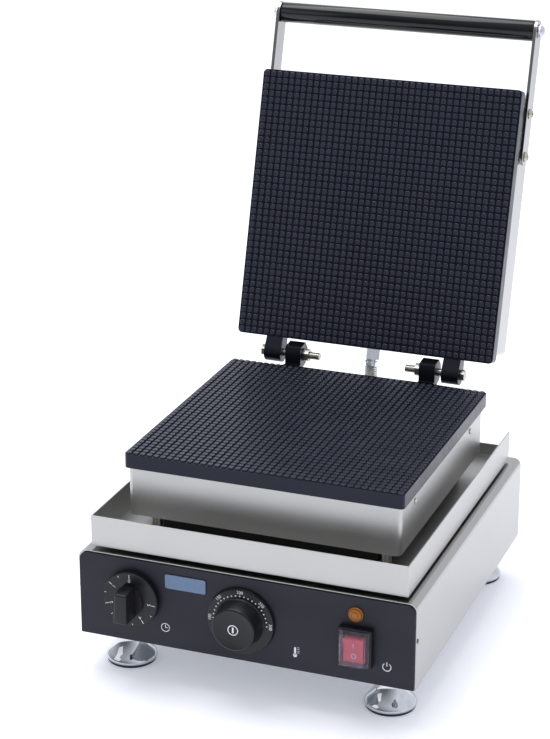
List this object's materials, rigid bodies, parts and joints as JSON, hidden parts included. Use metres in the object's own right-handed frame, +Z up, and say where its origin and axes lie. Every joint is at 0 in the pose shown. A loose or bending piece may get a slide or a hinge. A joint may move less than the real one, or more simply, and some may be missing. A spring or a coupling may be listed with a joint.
{
  "type": "waffle cone maker",
  "caption": "Countertop waffle cone maker with a hinged upper plate, bar handle, drip tray, timer and thermostat dials, splash-proof rocker switch and bell-shaped feet.",
  "frame": {"origin": "middle of the footprint, on the surface that the rubber pads stand on, with the lid open", "axes": "+Z up, +Y towards the hinge at the rear, +X to the right when facing the control panel"},
  "size_m": [0.3036, 0.4587, 0.5065],
  "materials": {
    "stainless_sheet": "satin",
    "plate_iron": "matte",
    "polished_chrome": "polished",
    "zinc_hardware": "satin",
    "heater_sheath": "satin",
    "plain_steel": "satin",
    "black_sheet": "satin",
    "panel_finish": "satin",
    "black_plastic": "satin",
    "grip_plastic": "gloss",
    "pad_rubber": "matte",
    "red_plastic": "gloss",
    "clear_plastic": "gloss",
    "amber_plastic": "gloss",
    "ceramic_wool": "matte",
    "terminal_ceramic": "satin"
  },
  "bodies": {
    "base": {"body_housing": "stainless_sheet", "base_plate": "plain_steel", "control_panel": "panel_finish", "blank_name_plate": "plain_steel", "drip_tray": "stainless_sheet", "wiring_shroud": "black_sheet", "lower_casing": "stainless_sheet", "lower_insulation": "ceramic_wool", "lower_heating_element": "heater_sheath", "lower_plate": "plate_iron", "timer_body": "plain_steel", "thermostat_body": "plain_steel", "thermostat_probe": "plain_steel", "pilot_lamp_lens": "amber_plastic", "pilot_lamp_body": "black_plastic", "switch_body": "black_plastic", "switch_splash_cover": "clear_plastic", "terminal_block": "terminal_ceramic", "cable_gland": "black_plastic", "conduit_base_fitting": "zinc_hardware", "conduit": "zinc_hardware", "casing_post_front_left": "zinc_hardware", "foot_front_left": "polished_chrome", "foot_pad_front_left": "pad_rubber", "casing_post_front_right": "zinc_hardware", "foot_front_right": "polished_chrome", "foot_pad_front_right": "pad_rubber", "casing_post_rear_left": "zinc_hardware", "foot_rear_left": "polished_chrome", "foot_pad_rear_left": "pad_rubber", "casing_post_rear_right": "zinc_hardware", "foot_rear_right": "polished_chrome", "foot_pad_rear_right": "pad_rubber", "panel_screw_left": "zinc_hardware", "hinge_bolt_left": "zinc_hardware", "hinge_nut_left": "zinc_hardware", "panel_screw_right": "zinc_hardware", "hinge_bolt_right": "zinc_hardware", "hinge_nut_right": "zinc_hardware"},
    "lid": {"upper_plate": "plate_iron", "upper_casing": "stainless_sheet", "upper_heating_element": "heater_sheath", "upper_insulation": "ceramic_wool", "conduit_lid_fitting": "zinc_hardware", "handle_grip": "grip_plastic", "handle_rod": "zinc_hardware", "handle_arm_left": "stainless_sheet", "handle_cap_nut_left": "polished_chrome", "arm_screw_front_left": "zinc_hardware", "arm_screw_rear_left": "zinc_hardware", "handle_arm_right": "stainless_sheet", "handle_cap_nut_right": "polished_chrome", "arm_screw_front_right": "zinc_hardware", "arm_screw_rear_right": "zinc_hardware"},
    "timer_dial": {"timer_shaft": "zinc_hardware", "timer_knob": "black_plastic"},
    "thermostat_dial": {"thermostat_shaft": "zinc_hardware", "thermostat_knob": "black_plastic"},
    "power_rocker": {"switch_rocker": "red_plastic"}
  },
  "joints": [
    {"name": "lid_hinge", "type": "hinge", "parent": "base", "child": "lid", "pos_m": [0, 0.10144, 0.1977], "axis": [1, 0, 0], "range_deg": [0, 106.5], "deforming": ["conduit"]},
    {"name": "timer_turn", "type": "hinge", "parent": "base", "child": "timer_dial", "pos_m": [-0.1002, -0.20356, 0.0786], "axis": [0, 1, 0], "range_deg": [0, 265]},
    {"name": "thermostat_turn", "type": "hinge", "parent": "base", "child": "thermostat_dial", "pos_m": [-0.0011, -0.20356, 0.0745], "axis": [0, 1, 0], "range_deg": [-90, 180]},
    {"name": "rocker_press", "type": "hinge", "parent": "base", "child": "power_rocker", "pos_m": [0.1003, -0.20456, 0.0701], "axis": [-1, 0, 0], "range_deg": [0, 16]}
  ]
}
